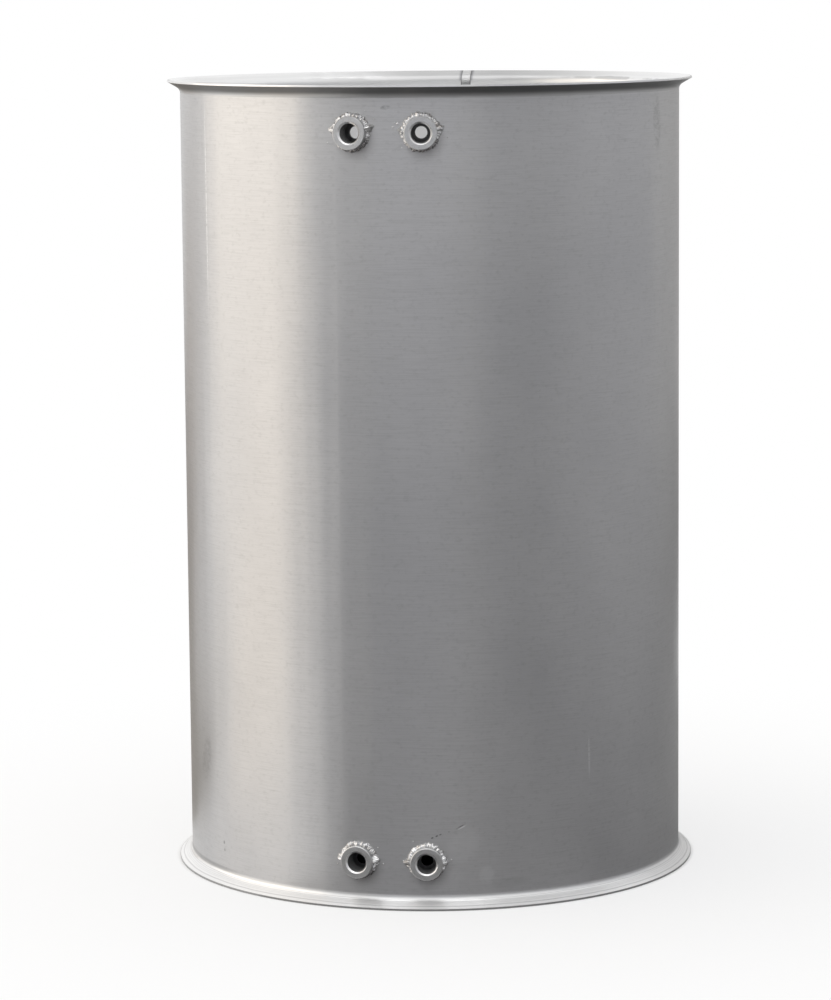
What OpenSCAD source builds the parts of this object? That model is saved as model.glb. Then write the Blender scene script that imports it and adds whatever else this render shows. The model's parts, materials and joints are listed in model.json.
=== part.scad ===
// Diesel particulate filter canister for a heavy truck.
// A rolled and seam-welded stainless shell with flared ends holds a segmented
// wall-flow ceramic filter in a fibre mat. Four welded bosses take the sensors.
// Z runs along the gas path, the origin is the centre of the lower flange face,
// and the bosses face -Y.

/* [Shell] */
// Outer diameter of the rolled shell
shell_od = 345; // [300:1:400]
// Height from flange face to flange face
shell_height = 546; // [520:1:640]
// Thickness of the rolled sheet
sheet_t = 1.5; // [1:0.1:2.2]

/* [Flared flanges] */
// How far the flared rim stands out from the shell
flange_width = 8.7; // [7:0.1:14]
// Angle of the flare above the flange plane, in degrees
flare_angle = 30; // [22:1:45]
// Radius of the bend between wall and flare, on its outer side
flare_bend_r = 5; // [3:0.5:7]
// Depth that is trimmed flat off the tip of the rim
rim_trim = 0.6; // [0.3:0.1:0.9]

/* [Seam] */
// Angle of the shell's seam from the boss side, in degrees
seam_angle = 171; // [120:1:240]
// Width of the flattened seam weld
seam_w = 7; // [4:0.5:12]
// How far the seam weld stands proud of both sides of the sheet
seam_rise = 0.3; // [0.1:0.05:0.5]

/* [Sensor bosses] */
// Outer diameter of a boss
boss_od = 22; // [20:0.5:28]
// How far a boss stands out of the shell
boss_height = 6; // [5:0.5:12]
// How far a boss reaches into the shell
boss_depth = 10; // [6:0.5:14]
// Thickness of the floor at the inner end of a boss
boss_floor = 2; // [1:0.5:4]
// Nominal diameter of the sensor thread
thread_d = 14; // [10:1:16]
// Pitch of the sensor thread
thread_pitch = 1.5; // [1:0.25:2]
// Chamfer at the mouth of the thread
thread_chamfer = 1.4; // [0.4:0.1:2]
// Height of the relief groove at the foot of the thread
thread_relief = 1.5; // [1:0.1:3]
// Chamfer round the outer edge of a boss
edge_chamfer = 0.5; // [0.2:0.1:1]
// Diameter of the hole through the floor of a boss
gas_hole_d = 8; // [5:0.5:9]
// Middle of the boss pairs round the shell, in degrees
boss_pair_angle = -9.6; // [-30:0.1:30]
// Angle between the two bosses of a pair
boss_spread = 15.3; // [13:0.1:40]
// Distance of the upper boss axes below the upper flange face
upper_boss_drop = 31; // [28:0.5:40]
// Distance of the lower boss axes above the lower flange face
lower_boss_rise = 31; // [28:0.5:40]

/* [Boss welds] */
// Leg of the fillet weld round a boss
weld_leg = 2.6; // [2.4:0.1:3]
// Number of ripples in a weld bead
weld_ripples = 20; // [12:1:30]
// Depth of the ripples as a share of the leg
weld_ripple = 0.09; // [0:0.01:0.15]
// Extra size of the lumps where the bead starts and stops, as a share of the leg
weld_lump = 0.85; // [0:0.05:1]

/* [Ceramic filter] */
// Length of the filter
filter_len = 406; // [340:1:410]
// Width of a square filter segment
segment_w = 34.3; // [30:0.1:60]
// Thickness of the cement between segments
joint_t = 1; // [0.6:0.1:2]
// Thickness of the ceramic skin round the segments
skin_t = 1.5; // [1:0.1:3]

/* [Support mat] */
// Thickness of the mat between the filter and the shell
mat_t = 6; // [4:0.5:12]
// Distance of the mat's edge from the filter's end face
mat_inset = 8; // [4:1:30]
// Width of the gap where the ends of the mat meet
mat_gap = 1; // [0.5:0.1:3]
// Width of the tongue at the mat's joint
mat_tongue_w = 60; // [30:1:100]
// Length of the tongue at the mat's joint
mat_tongue_len = 45; // [20:1:80]

/* [Retaining rings] */
// Sheet thickness of the rings
ring_t = 1.5; // [1:0.1:3]
// Height of the leg that stands along the shell
ring_leg_h = 12; // [8:0.5:16]
// How far the lip reaches over the filter's end face
lip_cover = 7; // [4:0.5:14]
// Radius of the bend between lip and leg, on its inner side
ring_bend_r = 2; // [1:0.5:4]
// Gap between a ring and the inner side of the seam weld
ring_clearance = 0.2; // [0.1:0.05:0.6]
// Number of tack welds on a ring
tack_count = 8; // [4:1:16]
// Length of a tack weld along the ring
tack_len = 14; // [8:1:30]

/* [Edge seals] */
// Thickness of the knitted wire seals under the lips
seal_t = 6; // [3:0.5:9]
// Radius of the corners of a seal's section
seal_corner_r = 1.2; // [0.5:0.1:1.4]

/* [Hidden] */
$fn = 180;

steel = [0.66, 0.66, 0.65];
machined_steel = [0.72, 0.73, 0.74];
weld_metal = [0.78, 0.78, 0.77];
wire_grey = [0.5, 0.5, 0.5];
fibre_white = [0.86, 0.84, 0.78];
carbide_grey = [0.33, 0.33, 0.34];
cement_grey = [0.55, 0.54, 0.52];

shell_r = shell_od / 2;
shell_inner_r = shell_r - sheet_t;
rim_r = shell_r + flange_width;

// The flare turns outwards by this angle, along a bend centred outside the wall.
flare_turn = 90 - flare_angle;
bend_x = shell_r + flare_bend_r;
cone_run = flange_width - flare_bend_r * (1 - cos(flare_turn));
rim_land = sheet_t / cos(flare_angle) - rim_trim;
bend_z = rim_land + cone_run * tan(flare_angle) + flare_bend_r * sin(flare_turn);

boss_r = boss_od / 2;
thread_bore_d = thread_d - thread_pitch;
// The relief groove is a little wider than the thread.
relief_d = thread_d + 0.6;
left_angle = boss_pair_angle - boss_spread / 2;
right_angle = boss_pair_angle + boss_spread / 2;
upper_boss_z = shell_height - upper_boss_drop;
lower_boss_z = lower_boss_rise;

filter_r = shell_inner_r - mat_t;
core_r = filter_r - skin_t;
filter_z = (shell_height - filter_len) / 2;
segment_pitch = segment_w + joint_t;
segment_rows = ceil(core_r / segment_pitch);
// A corner piece that is smaller than this is left to the cement.
smallest_corner = 4;

ring_outer_r = shell_inner_r - seam_rise - ring_clearance;
seal_inner_r = filter_r - lip_cover;
lip_z = filter_len / 2 + seal_t;

mat_len = filter_len - 2 * mat_inset;
// The mat's joint sits well away from the shell's seam.
mat_joint_angle = -40;

// Cuts run past the faces that they open by this much.
past = 1;
arc_steps = 12;
bead_steps = 72;
bead_arc_steps = 4;
// How deep a bead's section starts inside the boss and the shell before both are cut away.
bead_root = 1;
lump_width = 11;
// Clock angles of the lumps round a boss: 0 is to the right, 90 is up.
lump_angles = [9, 174];

function polar(r, angle) = [r * cos(angle), r * sin(angle)];
function turn_between(a, b) = abs((a - b + 540) % 360 - 180);
// Points along an arc from one angle to another.
function arc(centre, r, from, to) =
    [for (i = [0 : arc_steps]) centre + polar(r, from + (to - from) * i / arc_steps)];

// Sheet shapes

// Outer side of the lower flare, from the flange face up to the wall, thickened by grow.
function flare_outside(grow) =
    let (bend = arc([bend_x, bend_z], flare_bend_r - grow, 180 + flare_turn, 180), foot = bend[0])
    concat([[rim_r, 0], [rim_r, foot.y - (rim_r - foot.x) * tan(flare_angle)]], bend);

// Inner side of the lower flare, from the wall down to the flange face.
function flare_inside(grow) =
    let (bend = arc([bend_x, bend_z], flare_bend_r + sheet_t + grow, 180, 180 + flare_turn),
         foot = bend[arc_steps])
    concat(bend, [[foot.x + foot.y / tan(flare_angle), 0]]);

// The same points at the upper end, in the opposite order.
function at_upper_end(points) =
    [for (i = [len(points) - 1 : -1 : 0]) [points[i].x, shell_height - points[i].y]];

// Half section of the whole shell, from flange face to flange face.
module sheet_section(grow = 0) {
    outside = flare_outside(grow);
    inside = flare_inside(grow);
    polygon(concat(outside, at_upper_end(outside), at_upper_end(inside), inside));
}

// Slot between the two butted edges of the rolled sheet.
module seam_slot() {
    rotate([0, 0, seam_angle])
        translate([-seam_w / 2, -rim_r - past, -past])
            cube([seam_w, rim_r / 2, shell_height + 2 * past]);
}

module shell() {
    color(steel)
        difference() {
            rotate_extrude() sheet_section();
            seam_slot();
            for (z = [lower_boss_z, upper_boss_z], angle = [left_angle, right_angle])
                at_boss(angle, z)
                    translate([0, 0, -shell_r / 2])
                        cylinder(d = boss_od, h = shell_r);
        }
}

module seam_weld() {
    color(weld_metal)
        intersection() {
            rotate_extrude() sheet_section(seam_rise);
            seam_slot();
        }
}

// Sensor bosses and their welds

// Puts a shape that stands on the XY plane on the shell, pointing outwards.
module at_boss(angle, z) {
    rotate([0, 0, angle])
        translate([0, -shell_r, z])
            rotate([90, 0, 0])
                children();
}

// The shell's outer face as seen from a boss, with the boss axis along Z.
module shell_below_boss() {
    translate([0, 0, -shell_r])
        rotate([90, 0, 0])
            cylinder(r = shell_r, h = 4 * boss_od, center = true);
}

// A turned boss that passes through the shell. Its threaded bore ends in a relief groove over the floor.
module boss(angle, z) {
    chamfer_cut = thread_chamfer + past;
    color(machined_steel)
        at_boss(angle, z)
            difference() {
                union() {
                    translate([0, 0, -boss_depth])
                        cylinder(r = boss_r, h = boss_depth + boss_height - edge_chamfer);
                    translate([0, 0, boss_height - edge_chamfer])
                        cylinder(r1 = boss_r, r2 = boss_r - edge_chamfer, h = edge_chamfer);
                }
                translate([0, 0, boss_floor - boss_depth])
                    cylinder(d = thread_bore_d, h = boss_depth + boss_height);
                translate([0, 0, boss_floor - boss_depth])
                    cylinder(d = relief_d, h = thread_relief);
                translate([0, 0, boss_height - thread_chamfer])
                    cylinder(d1 = thread_bore_d, d2 = thread_bore_d + 2 * chamfer_cut, h = chamfer_cut);
                translate([0, 0, -boss_depth - past])
                    cylinder(d = gas_hole_d, h = boss_floor + 2 * past);
            }
}

// Leg of the bead at a clock angle: ripples all round, and a lump at each start and stop.
function bead_leg(clock) =
    weld_leg * (1 + weld_ripple * cos(clock * weld_ripples)
        + weld_lump * max([for (a = lump_angles) exp(-pow(turn_between(clock, a) / lump_width, 2))]));

// Height of the shell's face under the bead, below the foot of the boss axis.
function shell_drop(r, clock) = sqrt(pow(shell_r, 2) - pow(r * cos(clock), 2)) - shell_r;

// One section of the bead: the root, then a rounded face from the shell up to the boss.
function bead_section(clock) =
    let (leg = bead_leg(clock), root_r = boss_r - bead_root, reach = leg + bead_root)
    [for (p = concat([[0, 0]], [for (i = [0 : bead_arc_steps]) polar(reach, 90 * i / bead_arc_steps)]))
        let (r = root_r + p.x)
        [r * cos(clock), r * sin(clock), p.y - bead_root + shell_drop(r, clock)]];

module boss_weld(angle, z) {
    ring = bead_arc_steps + 2;
    points = [for (k = [0 : bead_steps - 1]) each bead_section(360 * k / bead_steps)];
    faces = [for (k = [0 : bead_steps - 1], i = [0 : ring - 1])
        let (k2 = (k + 1) % bead_steps, i2 = (i + 1) % ring)
        each [
            [k * ring + i, k * ring + i2, k2 * ring + i2],
            [k * ring + i, k2 * ring + i2, k2 * ring + i]
        ]];
    color(weld_metal)
        at_boss(angle, z)
            difference() {
                polyhedron(points, faces);
                shell_below_boss();
                cylinder(r = boss_r, h = 4 * boss_height, center = true);
            }
}

// Pieces that hold the filter at both ends

// Places a shape at one end of the filter: the filter's middle is z = 0, outwards is up.
module at_filter_end(upper) {
    translate([0, 0, shell_height / 2])
        mirror([0, 0, upper ? 0 : 1])
            children();
}

// The lip lies over the filter's edge, and the leg stands along the shell.
module retaining_ring(upper) {
    corner = [ring_outer_r - ring_t - ring_bend_r, ring_t + ring_bend_r];
    color(steel)
        at_filter_end(upper)
            translate([0, 0, lip_z])
                rotate_extrude()
                    polygon(concat(
                        [[seal_inner_r, 0]],
                        arc(corner, ring_bend_r + ring_t, 270, 360),
                        [[ring_outer_r, ring_leg_h], [ring_outer_r - ring_t, ring_leg_h]],
                        arc(corner, ring_bend_r, 360, 270),
                        [[seal_inner_r, ring_t]]
                    ));
}

// Short fillet welds between the edge of a ring's leg and the shell, clear of the seam.
module ring_tacks(upper) {
    leg = shell_inner_r - ring_outer_r + ring_t;
    turn = tack_len / shell_inner_r * 180 / PI;
    color(weld_metal)
        at_filter_end(upper)
            for (i = [0 : tack_count - 1])
                rotate([0, 0, seam_angle - 90 - turn / 2 + 360 * (i + 0.5) / tack_count])
                    translate([0, 0, lip_z + ring_leg_h])
                        rotate_extrude(angle = turn)
                            translate([shell_inner_r, 0])
                                intersection() {
                                    circle(leg);
                                    translate([-2 * leg, 0])
                                        square(2 * leg);
                                }
}

// A square with round corners, made of strips and discs.
module soft_square(size, r) {
    translate([r, 0])
        square([size.x - 2 * r, size.y]);
    translate([0, r])
        square([size.x, size.y - 2 * r]);
    for (x = [r, size.x - r], y = [r, size.y - r])
        translate([x, y])
            circle(r);
}

module edge_seal(upper) {
    color(wire_grey)
        at_filter_end(upper)
            translate([0, 0, filter_len / 2])
                rotate_extrude()
                    translate([seal_inner_r, 0])
                        soft_square([ring_outer_r - seal_inner_r, seal_t], seal_corner_r);
}

// Gap between the ends of the mat, with a tongue in its middle. The cuts run into each other.
module mat_joint() {
    turn = 2 * asin(mat_tongue_len / 2 / shell_inner_r);
    over = asin(mat_gap / filter_r);
    slot_x = filter_r / 2;
    tongue_z = (mat_len - mat_tongue_w) / 2;
    for (z = [-past, tongue_z + mat_tongue_w - mat_gap / 2])
        translate([slot_x, -mat_gap / 2, z])
            cube([shell_r, mat_gap, tongue_z + mat_gap / 2 + past]);
    rotate([0, 0, turn])
        translate([slot_x, -mat_gap / 2, tongue_z + mat_gap / 2])
            cube([shell_r, mat_gap, mat_tongue_w - mat_gap]);
    for (z = [tongue_z, tongue_z + mat_tongue_w - mat_gap])
        rotate([0, 0, -over])
            translate([0, 0, z])
                rotate_extrude(angle = turn + 2 * over)
                    translate([slot_x, 0])
                        square([shell_r, mat_gap]);
}

module support_mat() {
    color(fibre_white)
        difference() {
            translate([0, 0, filter_z + mat_inset])
                difference() {
                    cylinder(r = shell_inner_r, h = mat_len);
                    translate([0, 0, -past])
                        cylinder(r = filter_r, h = mat_len + 2 * past);
                    rotate([0, 0, mat_joint_angle])
                        mat_joint();
                }
            seam_weld();
        }
}

// Ceramic filter

// Centre of a row or column of segments, counted from the middle joint.
function segment_centre(i) = (i + 0.5) * segment_pitch;
function near_edge(c) = abs(c) - segment_w / 2;
function segment_fits(x, y) = norm([near_edge(x), near_edge(y)]) < core_r - smallest_corner;

segment_centres = [
    for (i = [-segment_rows : segment_rows - 1], j = [-segment_rows : segment_rows - 1])
        let (x = segment_centre(i), y = segment_centre(j))
        if (segment_fits(x, y)) [x, y]
];

module filter_segments() {
    color(carbide_grey)
        translate([0, 0, filter_z])
            for (c = segment_centres)
                linear_extrude(filter_len)
                    intersection() {
                        circle(core_r);
                        translate(c)
                            square(segment_w, center = true);
                    }
}

module segment_cement() {
    color(cement_grey)
        translate([0, 0, filter_z])
            linear_extrude(filter_len)
                difference() {
                    circle(core_r);
                    for (c = segment_centres)
                        translate(c)
                            square(segment_w, center = true);
                }
}

module filter_skin() {
    color(cement_grey)
        translate([0, 0, filter_z])
            difference() {
                cylinder(r = filter_r, h = filter_len);
                translate([0, 0, -past])
                    cylinder(r = core_r, h = filter_len + 2 * past);
            }
}

shell();
seam_weld();
boss(left_angle, upper_boss_z);  // upper_left_boss
boss(right_angle, upper_boss_z);  // upper_right_boss
boss(left_angle, lower_boss_z);  // lower_left_boss
boss(right_angle, lower_boss_z);  // lower_right_boss
boss_weld(left_angle, upper_boss_z);  // upper_left_boss_weld
boss_weld(right_angle, upper_boss_z);  // upper_right_boss_weld
boss_weld(left_angle, lower_boss_z);  // lower_left_boss_weld
boss_weld(right_angle, lower_boss_z);  // lower_right_boss_weld
retaining_ring(true);  // upper_retaining_ring
retaining_ring(false);  // lower_retaining_ring
ring_tacks(true);  // upper_ring_tacks
ring_tacks(false);  // lower_ring_tacks
edge_seal(true);  // upper_edge_seal
edge_seal(false);  // lower_edge_seal
support_mat();
filter_segments();
segment_cement();
filter_skin();
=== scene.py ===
"""Looks of a truck's diesel particulate filter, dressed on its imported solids.

Lengths are in metres. Z runs along the gas path, and the sensor bosses face -Y.
"""
import json
import math

import bmesh
import bpy
from mathutils import Matrix, Vector, noise


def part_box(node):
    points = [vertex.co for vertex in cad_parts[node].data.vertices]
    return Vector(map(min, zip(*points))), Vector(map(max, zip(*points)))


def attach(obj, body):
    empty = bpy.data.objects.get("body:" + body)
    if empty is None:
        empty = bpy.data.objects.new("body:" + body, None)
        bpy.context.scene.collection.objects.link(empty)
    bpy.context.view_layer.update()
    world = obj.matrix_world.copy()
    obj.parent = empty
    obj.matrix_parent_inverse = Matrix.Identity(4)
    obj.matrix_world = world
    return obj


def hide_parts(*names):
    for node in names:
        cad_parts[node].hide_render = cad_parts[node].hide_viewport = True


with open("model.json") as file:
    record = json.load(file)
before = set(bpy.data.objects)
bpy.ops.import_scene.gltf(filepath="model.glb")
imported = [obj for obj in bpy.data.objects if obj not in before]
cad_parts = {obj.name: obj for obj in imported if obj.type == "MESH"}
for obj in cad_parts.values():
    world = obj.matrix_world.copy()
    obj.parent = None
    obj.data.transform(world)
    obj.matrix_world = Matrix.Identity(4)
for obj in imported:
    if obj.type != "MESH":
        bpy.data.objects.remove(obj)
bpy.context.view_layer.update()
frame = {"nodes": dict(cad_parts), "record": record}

MM = 0.001
BODY = "root"
UP = Vector((0, 0, 1))
FULL_TURN = 2 * math.pi
mounts = {mount["name"]: mount for mount in frame["record"]["mounts"]}

# Shell
HEIGHT = mounts["upper_flange_rim"]["pos_m"][2]
SHELL_R = 172.5 * MM
RIM_R = mounts["upper_flange_rim"]["dims"]["r_mm"] * MM
FLARE_HEIGHT = 9 * MM
SEAM_TURN = math.radians(171)
SEAM_W = 7 * MM
SEAM_RIPPLE = 1.7 * MM

# Sensor bosses
BOSS_NAMES = ["upper_left", "upper_right", "lower_left", "lower_right"]
BOSS_R = 11 * MM
BOSS_HEIGHT = 6 * MM
BOSS_DEPTH = 10 * MM
BOSS_FLOOR = 2 * MM
BOSS_EDGE = 0.5 * MM
BOSS_STEPS = 72
GAS_HOLE_R = 4 * MM
BORE_R = mounts["upper_left_sensor_thread"]["dims"]["r_mm"] * MM
THREAD_PITCH = 1.5 * MM
THREAD_DEPTH = 0.75 * MM
THREAD_CHAMFER = 1.4 * MM
THREAD_TURNS = 13
THREAD_TURNS_BELOW = 2
RELIEF_R = 7.3 * MM
RELIEF_HEIGHT = 1.5 * MM
THREAD_FOOT = BOSS_FLOOR + RELIEF_HEIGHT - BOSS_DEPTH

# Welds round the bosses
BEAD_LEG = 2.5 * MM
BEAD_STEPS = 288
BEAD_ARC_STEPS = 10
BEAD_ROOT = 0.8 * MM
BEAD_SCALES = 27
BEAD_SEED_STEP = 3.7
SMALLEST_BEAD = 0.2
# Clock angles of the lumps at the start and stop of each bead, and their size as a share of the leg
LUMPS = {
    "upper_left": [(17, 1.1), (171, 1.2)],
    "upper_right": [(14, 1.1), (174, 1.0)],
    "lower_left": [(4, 0.9), (173, 0.9)],
    "lower_right": [(3, 0.8), (177, 1.1)],
}
LUMP_REACH = math.radians(10)
# Drops of weld spatter beside a boss: to the right, up and radius, in millimetres
SPATTER = {
    "upper_left": [(15.5, 9.0, 0.5), (-16.4, -6.5, 0.45), (9.5, 14.6, 0.4)],
    "upper_right": [
        (-18.2, 3.8, 0.8), (-15.1, 6.0, 0.9), (-17.0, 6.6, 0.4), (17.2, -2.8, 0.45), (-12.5, -9.5, 0.45),
    ],
    "lower_left": [(16.8, -1.6, 0.6), (-15.2, -3.4, 0.5), (13.2, 9.5, 0.5)],
    "lower_right": [(-15.5, 1.0, 0.6), (16.4, 1.8, 0.55), (-9.0, 14.5, 0.45)],
}
SPATTER_HEIGHT = 0.7

# Filter
FILTER_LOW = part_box("filter_segments")[0][2]
FILTER_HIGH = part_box("filter_segments")[1][2]
SEGMENT_W = 34.3 * MM
SEGMENT_PITCH = 35.3 * MM
SEGMENT_ROWS = 5
CORE_R = 163.5 * MM
CELLS = 13
CELL = SEGMENT_W / CELLS
CELL_WALL = 0.43 * MM
PLUG_DEPTH = 8 * MM
SEAL_LOOPS = 158 / 0.9
SEAL_ROW = 1.1 * MM

# New meshes: corners closer than the gap are merged, and edges sharper than the angle stay sharp
MERGE_GAP = 0.001 * MM
SHARP_EDGE = math.radians(32)


# Shader nodes as Python expressions


def grey(level):
    return (level, level, level, 1)


class Socket:
    """An output of a shader node. Arithmetic on it adds Math nodes."""

    def __init__(self, tree, output):
        self.tree = tree
        self.output = output

    def beside(self, name):
        """Another output of the same node."""
        return Socket(self.tree, self.output.node.outputs[name])

    def __add__(self, other):
        return self.tree.math("ADD", self, other)

    __radd__ = __add__

    def __sub__(self, other):
        return self.tree.math("SUBTRACT", self, other)

    def __rsub__(self, other):
        return self.tree.math("SUBTRACT", other, self)

    def __mul__(self, other):
        return self.tree.math("MULTIPLY", self, other)

    __rmul__ = __mul__

    def __truediv__(self, other):
        return self.tree.math("DIVIDE", self, other)

    def __abs__(self):
        return self.tree.math("ABSOLUTE", self)


class NodeTree:
    """The nodes of a material or a world while they are put together."""

    def __init__(self, owner):
        owner.use_nodes = True
        self.tree = owner.node_tree
        self.tree.nodes.clear()

    def add(self, kind, settings, inputs):
        """Adds a node with its settings, then the values or links of its sockets. Gives its first output."""
        node = self.tree.nodes.new(kind)
        for name, value in settings.items():
            setattr(node, name, value)
        for name, value in inputs.items():
            if isinstance(value, Socket):
                self.tree.links.new(value.output, node.inputs[name])
            else:
                node.inputs[name].default_value = value
        return Socket(self, node.outputs[0]) if node.outputs else None

    def math(self, operation, *values):
        return self.add("ShaderNodeMath", {"operation": operation}, dict(enumerate(values)))


class Paint(NodeTree):
    """A surface material on Object coordinates."""

    def __init__(self, name, centre=None):
        self.material = bpy.data.materials.new(name)
        super().__init__(self.material)
        self.place = self.add("ShaderNodeTexCoord", {}, {}).beside("Object")
        self.normal = self.place.beside("Normal")
        if centre:
            self.place = self.seen_from(centre)
        self.x = self.add("ShaderNodeSeparateXYZ", {}, {0: self.place})
        self.y = self.x.beside("Y")
        self.z = self.x.beside("Z")

    def seen_from(self, centre):
        """Coordinates with their origin and axes at a place on the part."""
        inputs = {
            "Vector": self.place,
            "Location": centre.to_translation(),
            "Rotation": centre.to_euler(),
        }
        return self.add("ShaderNodeMapping", {"vector_type": "TEXTURE"}, inputs)

    def radius(self):
        """Distance from the Z axis."""
        return self.math("SQRT", self.x * self.x + self.y * self.y)

    def turn(self):
        """Angle round the Z axis from the boss side, positive to the right."""
        return self.math("ARCTAN2", self.x, 0 - self.y)

    def outside(self):
        """1 on faces that look away from the Z axis, 0 on faces that look towards it."""
        normal_x = self.add("ShaderNodeSeparateXYZ", {}, {0: self.normal})
        outwards = normal_x * self.x + normal_x.beside("Y") * self.y
        return self.smooth(outwards / self.radius(), -0.05, 0.05)

    def noise(self, stretch, detail=2.0, roughness=0.5):
        """Cloud noise from 0 to 1 with a frequency for each axis, in waves per metre."""
        point = self.add("ShaderNodeMapping", {}, {"Vector": self.place, "Scale": stretch})
        inputs = {"Vector": point, "Scale": 1.0, "Detail": detail, "Roughness": roughness}
        return self.add("ShaderNodeTexNoise", {}, inputs)

    def line_noise(self, value, frequency, detail=2.0):
        """Noise along one value, which draws lines where that value is level."""
        inputs = {"W": value * frequency, "Scale": 1.0, "Detail": detail}
        return self.add("ShaderNodeTexNoise", {"noise_dimensions": "1D"}, inputs)

    def smooth(self, value, low, high):
        """0 below low, 1 above high, and a soft step between them."""
        settings = {"interpolation_type": "SMOOTHSTEP"}
        return self.add("ShaderNodeMapRange", settings, {"Value": value, "From Min": low, "From Max": high})

    def spot(self, point, reach):
        """1 at a point of the part, falling to 0 at reach."""
        gap = self.add("ShaderNodeVectorMath", {"operation": "DISTANCE"}, {0: self.place, 1: point})
        return 1 - self.smooth(gap.beside("Value"), 0.0, reach)

    def patch(self, turn, height, length, width, lean):
        """1 in the middle of a soft oval on the shell, 0 from its edge. Units as in the lists of marks."""
        right = (self.turn() - math.radians(turn)) * SHELL_R
        up = self.z - height * MM
        lean_right = math.cos(math.radians(lean))
        lean_up = math.sin(math.radians(lean))
        along = (right * lean_right + up * lean_up) / (length / 2 * MM)
        across = (up * lean_right - right * lean_up) / (width / 2 * MM)
        return 1 - self.smooth(along * along + across * across, 0.2, 1.0)

    def mix(self, factor, first, second):
        """A colour between two, by a factor from 0 to 1."""
        return self.add("ShaderNodeMix", {"data_type": "RGBA"}, {0: factor, 6: first, 7: second}).beside(2)

    def mark(self, colour, marks, mask):
        """Lays a list of marks over a colour, where the mask is 1."""
        for turn, height, length, width, lean, level, strength in marks:
            cover = self.patch(turn, height, length, width, lean) * strength
            colour = self.mix(cover * mask, colour, grey(level))
        return colour

    def bump(self, height, distance, normal=None):
        inputs = {"Height": height, "Distance": distance}
        if normal:
            inputs["Normal"] = normal
        return self.add("ShaderNodeBump", {}, inputs)

    def surface(self, **inputs):
        """Ends the material in one Principled shader. Gives the material."""
        named = {name.replace("_", " ").title(): value for name, value in inputs.items()}
        shader = self.add("ShaderNodeBsdfPrincipled", {}, named)
        self.add("ShaderNodeOutputMaterial", {}, {"Surface": shader})
        return self.material


# Places on the part


def on_shell(turn, height):
    """A point of the shell's outer face, from its angle in degrees and its height in millimetres."""
    angle = math.radians(turn)
    return Vector((SHELL_R * math.sin(angle), -SHELL_R * math.cos(angle), height * MM))


def shell_frame(turn, height):
    """Axes on the shell's face: X to the right, Y up and Z out of the shell."""
    foot = on_shell(turn, height)
    out = Vector((foot.x, foot.y, 0)).normalized()
    axes = Matrix((UP.cross(out), UP, out)).transposed().to_4x4()
    return Matrix.Translation(foot) @ axes


def boss_frame(boss):
    """Axes where a boss comes through the shell's face."""
    mount = mounts[boss + "_sensor_thread"]
    x, y, z = mount["axis"]
    return shell_frame(math.degrees(math.atan2(x, -y)), mount["pos_m"][2] / MM)


def shell_drop(x):
    """Height of the shell's face beside a frame on it, x to the right."""
    return math.sqrt(SHELL_R**2 - x**2) - SHELL_R


# Finishes

# Marks on the shell: turn, height, length, width, lean, grey and strength, in degrees and millimetres
SPECKS = [
    (-0.7, 47.8, 2.2, 1.2, 25, 0.12, 0.8),
    (0.3, 49.0, 2.4, 1.3, 25, 0.12, 0.8),
    (1.1, 50.0, 2.2, 1.2, 25, 0.14, 0.7),
    (3.0, 51.8, 1.6, 1.0, 0, 0.22, 0.5),
    (-57.2, 27.6, 2.6, 3.0, 0, 0.16, 0.6),
    (-57.0, 22.4, 2.4, 2.6, 0, 0.16, 0.5),
]
# Smears and scratches, and one painted highlight, broken up by the mottle of the sheet
SMEARS_AND_HIGHLIGHT = [
    (-9.6, 531.5, 8, 3.5, 12, 0.16, 0.5),
    (5.6, 55.3, 8.5, 0.9, 28, 0.16, 0.7),
    (6.0, 54.7, 8.5, 1.0, 28, 0.85, 0.7),
    (62.3, 517, 44, 14, 95, 0.26, 0.35),
    (-66, 82, 40, 20, 70, 0.26, 0.3),
    # Painted highlight: a long thin upright pale line on the left of the shell
    (-61, 465, 170, 1.8, 90.6, 0.95, 0.45),
    (37, 95, 34, 2.2, 91, 0.80, 0.4),
]
# Soft smudges beside the lower right boss
SMUDGES = [
    (6.3, 42, 34, 24, 40, 0.75, 0.14),
    (11.4, 22.2, 14, 12, 60, 0.80, 0.16),
    (2.5, 18, 30, 18, 20, 0.75, 0.12),
    (16.5, 15, 34, 9, 5, 0.30, 0.16),
]
# Reach of the painted shade round each boss
BOSS_SHADE_REACH = 20 * MM
# Reach of the painted shadow below each boss
BOSS_SHADOW_REACH = 16 * MM
# Middle of the painted shadow beside a boss, and of the painted shade on the lower side of its weld: to the
# right, up and out of the shell
BOSS_SHADOW_PLACE = Vector((3, -5, 0)) * MM
WELD_SHADE_PLACE = Vector((4, -11, 0)) * MM
WELD_SHADE_REACH = 15 * MM


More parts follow.
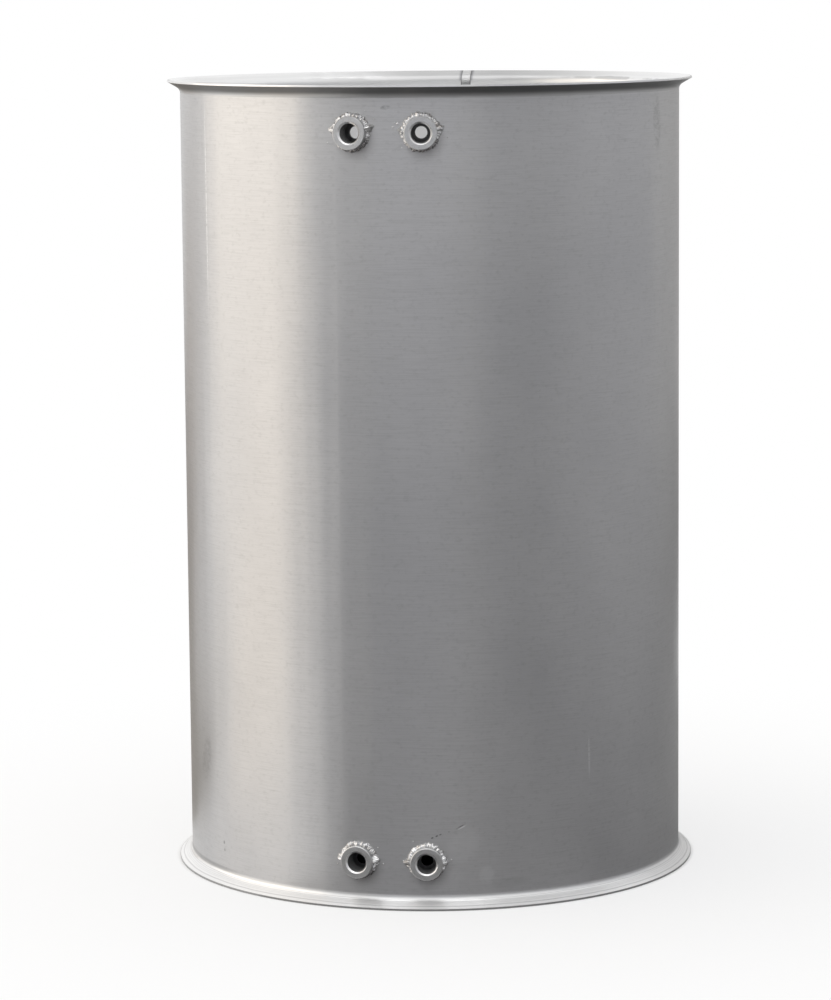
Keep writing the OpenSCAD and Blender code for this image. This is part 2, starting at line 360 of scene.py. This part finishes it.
def sheet_colour(paint, outside, grain, mottle, clouds):
    """The rolled sheet between the flares, with its marks, painted shade round the bosses, a painted shadow
    below each boss and a top painted lighter.
    """
    # Painted light: the top quarter of the sheet turns lighter towards the upper rim
    high = paint.smooth(paint.z, 0.75 * HEIGHT, HEIGHT)
    sheet = paint.mix(clouds, (0.46, 0.46, 0.47, 1), (0.575, 0.57, 0.57, 1))
    sheet = paint.mix(high * 0.18, sheet, grey(0.72))
    sheet = paint.mix(paint.smooth(grain, 0.4, 0.75) * 0.28, sheet, grey(0.35))
    sheet = paint.mix(paint.smooth(mottle, 0.5, 0.75) * 0.26, sheet, grey(0.34))
    sheet = paint.mark(sheet, SPECKS, outside)
    sheet = paint.mark(sheet, SMEARS_AND_HIGHLIGHT, outside * paint.smooth(mottle, 0.3, 0.6))
    sheet = paint.mark(sheet, SMUDGES, outside)
    for boss in BOSS_NAMES:
        place = boss_frame(boss)
        # Painted shade: a darker ring round each boss
        heat = paint.spot(place.to_translation(), BOSS_SHADE_REACH)
        # Painted shadow: a dark spot below and right of each boss
        soot = paint.spot(place @ BOSS_SHADOW_PLACE, BOSS_SHADOW_REACH)
        sheet = paint.mix(heat * 0.25, sheet, (0.36, 0.34, 0.32, 1))
        sheet = paint.mix(soot * 0.8, sheet, (0.14, 0.13, 0.13, 1))
    return sheet


def flare_colour(paint, clouds):
    """The worked flares: lines round the rim, painted shade towards the seam and burnt beside it."""
    rings = paint.line_noise(paint.radius() - paint.z + 3 * MM * clouds, 640)
    streaks = paint.noise((9, 9, 420), detail=3, roughness=0.6)
    beside_seam = (math.pi - abs(abs(paint.turn() - SEAM_TURN) - math.pi)) * SHELL_R
    # Painted shade: the flares darken towards the seam at the back
    seam_side_shade = 1 - paint.smooth(beside_seam, 20 * MM, 150 * MM)
    burnt = 1 - paint.smooth(beside_seam, SEAM_W / 2, SEAM_W / 2 + 2.5 * MM)
    bright = paint.mix(paint.smooth(streaks, 0.5, 0.75) * 0.5, grey(0.84), grey(0.95))
    bright = paint.mix(paint.smooth(rings, 0.46, 0.66) * 0.5, bright, grey(0.36))
    bright = paint.mix(seam_side_shade, bright, paint.mix(streaks, grey(0.30), grey(0.46)))
    return paint.mix(burnt * 0.8, bright, (0.14, 0.14, 0.15, 1))


def rolled_steel():
    """The shell: satin sheet with its grain round the shell, brighter on the worked flares."""
    paint = Paint("rolled_steel")
    outside = paint.outside()
    end = paint.math("MINIMUM", paint.z, HEIGHT - paint.z)
    flare = 1 - paint.smooth(end, FLARE_HEIGHT - 3 * MM, FLARE_HEIGHT + 1 * MM)
    upper_foot = HEIGHT - FLARE_HEIGHT
    upper = paint.smooth(paint.z, upper_foot - 1 * MM, upper_foot + 4.8 * MM)
    lower = 1 - paint.smooth(paint.z, FLARE_HEIGHT, 2 * FLARE_HEIGHT)
    land = paint.smooth(paint.radius(), RIM_R - 0.5 * MM, RIM_R - 0.1 * MM)
    shaded = upper * outside * (1 - land)
    # Painted light: the inside of the shell is pale and half matt, so that the far wall shows bright through
    # the boss holes
    chamber_painted_light = (1 - outside) * (1 - flare)
    # Painted shade: a dark line in the bend between the sheet and the lower flare, on the left side
    crease_shade = 1 - paint.smooth(abs(paint.z - FLARE_HEIGHT), 0.4 * MM, 2.2 * MM)
    crease_shade = crease_shade * paint.patch(-78, 9, 190, 60, 0)
    grain = paint.noise((50, 50, 2600), detail=3)
    mottle = paint.noise((260, 260, 420), detail=3, roughness=0.6)
    clouds = paint.noise((14, 14, 9), detail=4, roughness=0.6)
    bands = paint.noise((24, 24, 1.0), detail=2)
    sheet = sheet_colour(paint, outside, grain, mottle, clouds)
    colour = paint.mix(flare, sheet, flare_colour(paint, clouds))
    colour = paint.mix(crease_shade * 0.6, colour, grey(0.22))
    colour = paint.mix(shaded, colour, grey(0.20))
    colour = paint.mix(chamber_painted_light, colour, grey(0.86))
    # Painted shade: the outer edge of the lower rim darkened, where the part stands on the floor
    colour = paint.mix(land * lower, colour, grey(0.30))
    rough = 0.30 + 0.10 * grain + 0.08 * clouds - 0.08 * flare + 0.2 * shaded
    metallic = 1 - 0.7 * chamber_painted_light - 0.35 * flare * lower
    normal = paint.bump(bands, 1.2 * MM)
    normal = paint.bump(grain, 0.02 * MM, normal)
    return paint.surface(
        base_color=colour, metallic=metallic, roughness=rough, normal=normal,
        anisotropic=0.7, anisotropic_rotation=0.25,
    )


def turned_steel(boss):
    """A boss: fine rings from the lathe round its own axis, a bright chamfer and a thread darkened with
    painted shade.
    """
    paint = Paint("turned_steel_" + boss, boss_frame(boss))
    radius = paint.radius()
    deep = paint.smooth(BOSS_HEIGHT - paint.z, 0.8 * THREAD_CHAMFER, 1.2 * THREAD_CHAMFER)
    bore_shade = deep * (1 - paint.smooth(radius, BORE_R + THREAD_DEPTH, BORE_R + THREAD_CHAMFER))
    face = paint.smooth(radius, BORE_R + 0.9 * THREAD_CHAMFER, BORE_R + 1.1 * THREAD_CHAMFER)
    chamfer = (1 - deep) * (1 - face)
    rings = paint.line_noise(radius + paint.z, 2600)
    clouds = paint.noise((160, 160, 160), detail=3)
    specks = paint.noise((1400, 1400, 1400), detail=2)
    colour = paint.mix(clouds, grey(0.46), grey(0.60))
    colour = paint.mix(paint.smooth(specks, 0.5, 0.75) * 0.4, colour, grey(0.32))
    colour = paint.mix(chamfer, colour, grey(0.92))
    # Painted shade: the threaded bore darkened to near black
    colour = paint.mix(bore_shade, colour, grey(0.10))
    normal = paint.bump(rings, 0.03 * MM)
    rough = 0.30 + 0.12 * clouds + 0.12 * bore_shade
    return paint.surface(base_color=colour, metallic=1.0, roughness=rough, normal=normal)


def weld_metal():
    """Bright weld bead with a little heat colour in its hollows, and painted shade on its lower side."""
    paint = Paint("weld_metal")
    grit = paint.noise((900, 900, 900), detail=4, roughness=0.65)
    patches = paint.noise((180, 180, 180), detail=3)
    colour = paint.mix(paint.smooth(patches, 0.45, 0.75), grey(0.74), (0.44, 0.42, 0.40, 1))
    for boss in BOSS_NAMES:
        # Painted shade: the lower right of each bead darkened
        weld_shade = paint.spot(boss_frame(boss) @ WELD_SHADE_PLACE, WELD_SHADE_REACH)
        colour = paint.mix(paint.smooth(weld_shade, 0.05, 0.5) * 0.85, colour, (0.16, 0.15, 0.15, 1))
    normal = paint.bump(grit, 0.15 * MM)
    return paint.surface(base_color=colour, metallic=1.0, roughness=0.18 + 0.18 * grit, normal=normal)


def seam_metal():
    """The flattened seam weld, with the ripples of the torch across it."""
    paint = Paint("seam_metal", Matrix.Rotation(SEAM_TURN, 4, "Z"))
    bow = paint.x * paint.x / (4 * MM)
    ripples = paint.math("SINE", (paint.z + bow) * (FULL_TURN / SEAM_RIPPLE))
    grit = paint.noise((700, 700, 700), detail=3)
    edge = paint.smooth(abs(paint.x), SEAM_W / 2 - 0.8 * MM, SEAM_W / 2)
    colour = paint.mix(edge, paint.mix(grit, grey(0.36), grey(0.48)), grey(0.10))
    normal = paint.bump(ripples + grit, 0.05 * MM)
    return paint.surface(base_color=colour, metallic=1.0, roughness=0.24 + 0.2 * grit, normal=normal)


def knitted_wire():
    """Compressed rings of knitted wire."""
    paint = Paint("knitted_wire")
    loops = paint.math("SINE", paint.turn() * SEAL_LOOPS)
    rows = paint.math("SINE", paint.z * (FULL_TURN / SEAL_ROW))
    tangle = paint.noise((900, 900, 900), detail=3)
    height = 0.5 * (loops * rows) + tangle
    # Painted shade: the low places of the knit darkened towards black
    colour = paint.mix(paint.smooth(height, 0.2, 0.9), grey(0.06), grey(0.5))
    normal = paint.bump(height, 0.4 * MM)
    return paint.surface(base_color=colour, metallic=1.0, roughness=0.34, normal=normal)


def filter_carbide():
    """Porous grey carbide, paler where cement plugs a channel."""
    paint = Paint("filter_carbide")
    plug = paint.add("ShaderNodeAttribute", {"attribute_name": "plug"}, {}).beside("Fac")
    pores = paint.noise((2200, 2200, 2200), detail=3)
    soot = paint.noise((22, 22, 22), detail=3)
    wall = paint.mix(pores, grey(0.13), grey(0.21))
    filled = paint.mix(pores, grey(0.22), grey(0.31))
    colour = paint.mix(plug, wall, filled)
    colour = paint.mix(paint.smooth(soot, 0.45, 0.8) * 0.4, colour, grey(0.10))
    normal = paint.bump(pores, 0.08 * MM)
    return paint.surface(base_color=colour, roughness=0.72 + 0.15 * pores, normal=normal)


def mottled(name, first, second, waves, metallic, roughness, relief):
    """A mottled finish for the pieces that hold the filter."""
    paint = Paint(name)
    mottle = paint.noise((waves, waves, waves), detail=4, roughness=0.6)
    colour = paint.mix(mottle, first, second)
    normal = paint.bump(mottle, relief)
    rough = roughness + 0.15 * mottle
    return paint.surface(base_color=colour, metallic=metallic, roughness=rough, normal=normal)


def dress(material, *names):
    """Gives CAD nodes a material."""
    for name in names:
        slots = frame["nodes"][name].data.materials
        slots.clear()
        slots.append(material)


bead_metal = weld_metal()
cement = mottled("filter_cement", grey(0.24), grey(0.36), 800, 0.0, 0.8, 0.15 * MM)
pressed_steel = mottled("pressed_steel", grey(0.42), grey(0.54), 90, 1.0, 0.28, 0.05 * MM)
mat_fibre = mottled("mat_fibre", (0.70, 0.66, 0.58, 1), (0.86, 0.84, 0.78, 1), 700, 0.0, 0.8, 0.4 * MM)

dress(rolled_steel(), "shell")
dress(seam_metal(), "seam_weld")
dress(bead_metal, "upper_ring_tacks", "lower_ring_tacks")
dress(pressed_steel, "upper_retaining_ring", "lower_retaining_ring")
dress(knitted_wire(), "upper_edge_seal", "lower_edge_seal")
dress(mat_fibre, "support_mat")
dress(cement, "segment_cement", "filter_skin")


# New pieces


def add_object(name, data):
    """Puts a mesh, lamp or camera in the scene."""
    piece = bpy.data.objects.new(name, data)
    bpy.context.scene.collection.objects.link(piece)
    return piece


def add_piece(name, shape, material, slot, *stands_for):
    """Turns a bmesh into a piece that rides on the part."""
    bmesh.ops.remove_doubles(shape, verts=shape.verts, dist=MERGE_GAP)
    bmesh.ops.dissolve_degenerate(shape, edges=shape.edges, dist=MERGE_GAP)
    bmesh.ops.recalc_face_normals(shape, faces=shape.faces)
    mesh = bpy.data.meshes.new(name)
    shape.to_mesh(mesh)
    shape.free()
    mesh.materials.append(material)
    mesh.shade_smooth()
    mesh.set_sharp_from_angle(angle=SHARP_EDGE)
    piece = add_object(name, mesh)
    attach(piece, BODY)
    if stands_for:
        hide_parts(*stands_for)


def spin_line(shape, points, steps, rise=0.0, closed=False):
    """Spins a line of (radius, height) points round Z, climbing by rise in a turn. Gives its vertices."""
    before = set(shape.verts)
    verts = [shape.verts.new((radius, 0, height)) for radius, height in points]
    ends = verts[1:] + verts[:1] if closed else verts[1:]
    edges = [shape.edges.new(pair) for pair in zip(verts, ends)]
    bmesh.ops.spin(
        shape, geom=verts + edges, axis=UP, dvec=UP * rise / steps, angle=FULL_TURN, steps=steps,
        use_merge=not rise,
    )
    return [vert for vert in shape.verts if vert not in before]


def thread_points():
    """Section of an internal thread, from below its foot to above the face of a boss."""
    crest = THREAD_PITCH / 4
    root = THREAD_PITCH / 8
    flank = (THREAD_PITCH - crest - root) / 2
    points = []
    for turn in range(THREAD_TURNS):
        start = (turn - THREAD_TURNS_BELOW) * THREAD_PITCH + THREAD_FOOT
        points.append((BORE_R, start))
        points.append((BORE_R, start + crest))
        points.append((BORE_R + THREAD_DEPTH, start + crest + flank))
        points.append((BORE_R + THREAD_DEPTH, start + crest + flank + root))
    return points


def turn_boss(boss):
    """A turned boss with its thread cut in, through the shell."""
    shape = bmesh.new()
    mouth_r = BORE_R + THREAD_CHAMFER
    floor = BOSS_FLOOR - BOSS_DEPTH
    body = [
        (BORE_R, THREAD_FOOT),
        (RELIEF_R, THREAD_FOOT),
        (RELIEF_R, floor),
        (GAS_HOLE_R, floor),
        (GAS_HOLE_R, -BOSS_DEPTH),
        (BOSS_R, -BOSS_DEPTH),
        (BOSS_R, BOSS_HEIGHT - BOSS_EDGE),
        (BOSS_R - BOSS_EDGE, BOSS_HEIGHT),
        (mouth_r, BOSS_HEIGHT),
    ]
    spin_line(shape, body, BOSS_STEPS)
    for vert in spin_line(shape, thread_points(), BOSS_STEPS, rise=THREAD_PITCH):
        vert.co.z = min(max(vert.co.z, THREAD_FOOT), BOSS_HEIGHT)
        radius = vert.co.xy.length
        vert.co.xy *= max(radius, mouth_r - BOSS_HEIGHT + vert.co.z) / radius
    shape.transform(boss_frame(boss))
    add_piece(boss + "_threaded_boss", shape, turned_steel(boss), "boss_steel", boss + "_boss")


def bead_growth(boss, clock, rise, seed):
    """A weld bead's size at a clock angle, as a share of its leg. Rise is 0 at the shell, 1 at the boss."""
    compass = Vector((math.cos(clock), math.sin(clock), 0))
    drift = noise.noise(compass * 2.3 + UP * seed)
    scales = abs(math.sin(BEAD_SCALES / 2 * clock + 3.5 * drift - 0.8 * rise))
    growth = 0.62 + 0.22 * compass.y + 0.22 * scales
    growth += 0.34 * noise.noise(compass * 6.5 + UP * (seed + 0.8 * rise))
    growth += 0.22 * noise.noise(compass * 19 + UP * (seed + 2 * rise))
    for middle, size in LUMPS[boss]:
        gap = math.remainder(clock - math.radians(middle), FULL_TURN) / LUMP_REACH
        growth += size * math.exp(-(gap**2))
    return max(growth, SMALLEST_BEAD)


def lay_bead(boss, seed):
    """The fillet weld round a boss: overlapping scales, with a lump at each start and stop."""
    shape = bmesh.new()
    points = [(BOSS_R - BEAD_ROOT, -BEAD_ROOT)]
    for step in range(BEAD_ARC_STEPS + 1):
        angle = math.pi / 2 * step / BEAD_ARC_STEPS
        points.append((BOSS_R + BEAD_LEG * math.cos(angle), BEAD_LEG * math.sin(angle)))
    for vert in spin_line(shape, points, BEAD_STEPS, closed=True):
        clock = math.atan2(vert.co.y, vert.co.x)
        reach = vert.co.xy.length - BOSS_R
        if reach > -BEAD_ROOT / 2:
            growth = bead_growth(boss, clock, vert.co.z / BEAD_LEG, seed)
            reach *= growth
            vert.co.z *= growth
        vert.co.xy = Vector((math.cos(clock), math.sin(clock))) * (BOSS_R + reach)
        vert.co.z += shell_drop(vert.co.x)
    shape.transform(boss_frame(boss))
    add_piece(boss + "_weld_bead", shape, bead_metal, "weld_metal", boss + "_boss_weld")


def throw_spatter():
    """Small flattened drops of weld metal that stuck to the shell."""
    shape = bmesh.new()
    squeeze = Matrix.Diagonal((1, 1, SPATTER_HEIGHT, 1))
    for boss, drops in SPATTER.items():
        for right, up, radius in drops:
            place = Vector((right * MM, up * MM, shell_drop(right * MM)))
            drop = boss_frame(boss) @ Matrix.Translation(place) @ squeeze
            bmesh.ops.create_icosphere(shape, subdivisions=2, radius=radius * MM, matrix=drop)
    add_piece("weld_spatter", shape, bead_metal, "weld_metal")


def cell_parity(face, centre):
    """0 or 1 in a chequer of a segment's cells."""
    corner = face.calc_center_median() - centre + Vector((SEGMENT_W, SEGMENT_W, 0)) / 2
    return (math.floor(corner.x / CELL) + math.floor(corner.y / CELL)) % 2


def raise_segment(shape, centre):
    """One square segment, cut round where it passes the core. Gives the cells of its upper and lower end."""
    grid = bmesh.ops.create_grid(
        shape, x_segments=CELLS, y_segments=CELLS, size=SEGMENT_W / 2, matrix=Matrix.Translation(centre)
    )
    cells = list(dict.fromkeys(face for vert in grid["verts"] for face in vert.link_faces))
    outside = [cell for cell in cells if max(vert.co.xy.length for vert in cell.verts) > CORE_R]
    bmesh.ops.delete(shape, geom=outside, context="FACES")
    cells = [cell for cell in cells if cell.is_valid]
    raised = bmesh.ops.extrude_face_region(shape, geom=cells)["geom"]
    corners = [item for item in raised if isinstance(item, bmesh.types.BMVert)]
    bmesh.ops.translate(shape, verts=corners, vec=UP * (FILTER_HIGH - FILTER_LOW))
    return [item for item in raised if isinstance(item, bmesh.types.BMFace)], cells


def build_honeycomb(name, columns, material):
    """Columns of segments with square channels, each channel plugged at one end."""
    shape = bmesh.new()
    plug = shape.faces.layers.float.new("plug")
    open_ends = ([], [])
    for column in columns:
        for row in range(-SEGMENT_ROWS, SEGMENT_ROWS):
            centre = Vector(((column + 0.5) * SEGMENT_PITCH, (row + 0.5) * SEGMENT_PITCH, FILTER_LOW))
            for end, cells in enumerate(raise_segment(shape, centre)):
                for cell in cells:
                    if cell_parity(cell, centre) == end:
                        open_ends[end].append(cell)
                    else:
                        cell[plug] = 1.0
    bmesh.ops.recalc_face_normals(shape, faces=shape.faces)
    depth = FILTER_HIGH - FILTER_LOW - PLUG_DEPTH
    for cells, inward in zip(open_ends, (-UP, UP)):
        bmesh.ops.inset_individual(shape, faces=cells, thickness=CELL_WALL / 2)
        floors = bmesh.ops.extrude_discrete_faces(shape, faces=cells)["faces"]
        corners = [vert for face in floors for vert in face.verts]
        bmesh.ops.translate(shape, verts=corners, vec=inward * depth)
    add_piece(name, shape, material, "filter_ceramic", "filter_segments")


for number, boss in enumerate(BOSS_NAMES):
    turn_boss(boss)
    lay_bead(boss, number * BEAD_SEED_STEP)
throw_spatter()
carbide = filter_carbide()
build_honeycomb("filter_channels_left", range(-SEGMENT_ROWS, 0), carbide)
build_honeycomb("filter_channels_right", range(SEGMENT_ROWS), carbide)


# Floor, light and camera

FLOOR_R = 8.0
FLOOR_STEPS = 96
FLOOR_GREY = 0.80
# The floor turns to white between these distances from the part, from a first lift beside it
FLOOR_NEAR = 0.2
FLOOR_FAR = 0.7
FLOOR_LIFT = 0.65

# Lamps: name, place, point they shine at, width, height, glow and colour
LAMPS = [
    ("left_lamp", (-1.8, -0.05, 1.1), (0, -0.05, 0.9), 2.1, 2.2, 0.80, (1.0, 0.862, 0.685)),
    ("top_lamp", (-0.2, -0.2, 2.6), (-0.2, -0.1, 0.0), 1.8, 2.6, 1.1, (1, 1, 1)),
]
# Standing cards: name, place, point they face, width, height and colour
STANDING_CARDS = [
    ("front_card", (-0.9, -4.2, 1.5), (-0.9, 0, 1.5), 7.0, 3.0, (0.665, 0.675, 0.72, 1)),
    ("front_high_card", (-1.6, -4.15, 1.6), (-1.6, 0, 1.6), 5.6, 2.7, (0.815, 0.825, 0.87, 1)),
    ("right_card", (2.6, 0.3, 1.0), (0, 0.3, 1.0), 9.0, 2.0, (0.63, 0.64, 0.67, 1)),
    ("left_front_strip", (-3.0, -4.1, 1.6), (-3.0, 0, 1.6), 1.4, 2.7, grey(0.95)),
    ("right_front_strip", (1.35, -4.1, 1.6), (1.35, 0, 1.6), 0.7, 2.7, grey(0.84)),
    ("right_strip", (2.55, 1.95, 1.0), (0, 1.95, 1.0), 0.75, 2.0, grey(0.82)),
    ("rear_right_card", (1.45, 2.5, 1.0), (0, 0, 1.0), 2.0, 2.0, grey(0.66)),
    ("rear_left_card", (-1.75, 2.1, 0.15), (0, 0, 0.15), 1.4, 0.3, (0.88, 0.80, 0.72, 1)),
]
# Cards that lie on the floor: name, middle, width, depth and colour
FLOOR_CARDS = [
    ("front_floor_card", (0.1, -1.22, 0.004), 3.4, 1.26, grey(0.08)),
    ("right_floor_card", (1.25, 0.55, 0.004), 1.1, 2.4, grey(0.26)),
    ("rear_floor_card", (-0.75, 2.2, 0.004), 1.3, 2.6, (0.24, 0.21, 0.18, 1)),
    ("rear_right_floor_card", (0.95, 1.5, 0.005), 1.0, 1.8, grey(0.20)),
]
# Cards close to the part, which leave the floor's own light and shadow alone
NEAR_CARDS = [
    ("near_front_card", (0.015, -0.37, 0.0004), 0.27, 0.54, grey(0.26)),
    ("near_left_front_card", (-0.21, -0.44, 0.0004), 0.18, 0.42, grey(0.22)),
    ("far_left_front_card", (-0.455, -0.54, 0.0004), 0.31, 0.22, grey(0.24)),
    ("near_right_front_card", (0.45, -0.37, 0.0004), 0.60, 0.54, grey(0.21)),
    ("near_right_card", (0.42, 0.25, 0.0004), 0.64, 0.70, grey(0.26)),
    ("near_rear_card", (-0.33, 0.57, 0.0004), 0.50, 0.96, (0.26, 0.24, 0.21, 1)),
    ("near_left_card", (-0.72, -0.15, 0.0004), 0.6, 0.40, (0.97, 0.89, 0.79, 1)),
]

CAMERA_PLACE = (0, -2.6265, 0.6178)
CAMERA_YAW = math.radians(0.264)
CAMERA_PITCH = math.radians(90 - 7.956)
CAMERA_ROLL = math.radians(-0.494)
LENS = 135.83
SENSOR_W = 36.0


def lay_floor():
    """A pale floor that keeps the part's shadow and runs out into white."""
    mesh = bpy.data.meshes.new("floor")
    shape = bmesh.new()
    bmesh.ops.create_circle(shape, cap_ends=True, segments=FLOOR_STEPS, radius=FLOOR_R)
    shape.to_mesh(mesh)
    shape.free()
    floor = add_object("floor", mesh)
    paint = Paint("floor")
    away = paint.smooth(paint.radius(), FLOOR_NEAR, FLOOR_FAR)
    beside = paint.smooth(paint.radius(), RIM_R - 1 * MM, RIM_R + 3 * MM)
    camera = paint.add("ShaderNodeLightPath", {}, {})
    mirrored = paint.math("MAXIMUM", camera.beside("Is Glossy Ray"), camera.beside("Is Transmission Ray"))
    seen = paint.math("MAXIMUM", camera, mirrored)
    white = (FLOOR_LIFT * beside + (1 - FLOOR_LIFT) * away) * seen
    near = paint.add("ShaderNodeBsdfDiffuse", {}, {"Color": grey(FLOOR_GREY)})
    far = paint.add("ShaderNodeEmission", {}, {"Color": grey(1), "Strength": 1.0})
    mixed = paint.add("ShaderNodeMixShader", {}, {0: white, 1: near, 2: far})
    paint.add("ShaderNodeOutputMaterial", {}, {"Surface": mixed})
    mesh.materials.append(paint.material)


def light_sky():
    """Even white light from all round."""
    world = bpy.data.worlds.new("studio")
    bpy.context.scene.world = world
    tree = NodeTree(world)
    sky = tree.add("ShaderNodeBackground", {}, {"Color": grey(1), "Strength": 1.0})
    tree.add("ShaderNodeOutputWorld", {}, {"Surface": sky})


def facing(place, aim):
    """Axes at a place whose -Z looks at a point."""
    look = Vector(aim) - Vector(place)
    return Matrix.Translation(place) @ look.to_track_quat("-Z", "Y").to_matrix().to_4x4()


def hang_lamp(name, place, aim, width, height, glow, colour):
    """A flat lamp that shines at a point. Glow is how bright its face looks, where 1 is white."""
    lamp = bpy.data.lights.new(name, "AREA")
    lamp.shape = "RECTANGLE"
    lamp.size = width
    lamp.size_y = height
    lamp.color = colour
    lamp.energy = glow * math.pi * width * height
    holder = add_object(name, lamp)
    holder.matrix_world = facing(place, aim)
    holder.visible_camera = False


def set_card(name, place, aim, width, height, colour):
    """A matt card that the steel mirrors, out of the camera's sight."""
    mesh = bpy.data.meshes.new(name)
    shape = bmesh.new()
    size = Matrix.Diagonal((width, height, 1, 1))
    bmesh.ops.create_grid(shape, x_segments=1, y_segments=1, size=0.5, matrix=facing(place, aim) @ size)
    shape.to_mesh(mesh)
    shape.free()
    card = add_object(name, mesh)
    card.visible_camera = False
    mesh.materials.append(Paint(name).surface(base_color=colour, roughness=1.0))
    return card


def lay_card(name, place, width, depth, colour):
    """A card that lies face up."""
    return set_card(name, place, Vector(place) + UP, width, depth, colour)


def aim_camera():
    """A long lens a little above the part, turned and rolled by a trace."""
    lens = bpy.data.cameras.new("camera")
    lens.lens = LENS
    lens.sensor_width = SENSOR_W
    camera = add_object("camera", lens)
    yaw = Matrix.Rotation(CAMERA_YAW, 4, "Z")
    pitch = Matrix.Rotation(CAMERA_PITCH, 4, "X")
    roll = Matrix.Rotation(CAMERA_ROLL, 4, "Z")
    camera.matrix_world = Matrix.Translation(CAMERA_PLACE) @ yaw @ pitch @ roll
    bpy.context.scene.camera = camera


bpy.context.scene.view_settings.view_transform = "Standard"
lay_floor()
light_sky()
for lamp in LAMPS:
    hang_lamp(*lamp)
for card in STANDING_CARDS:
    set_card(*card)
for card in FLOOR_CARDS:
    lay_card(*card)
for card in NEAR_CARDS:
    near_card = lay_card(*card)
    near_card.visible_diffuse = False
    near_card.visible_shadow = False
aim_camera()
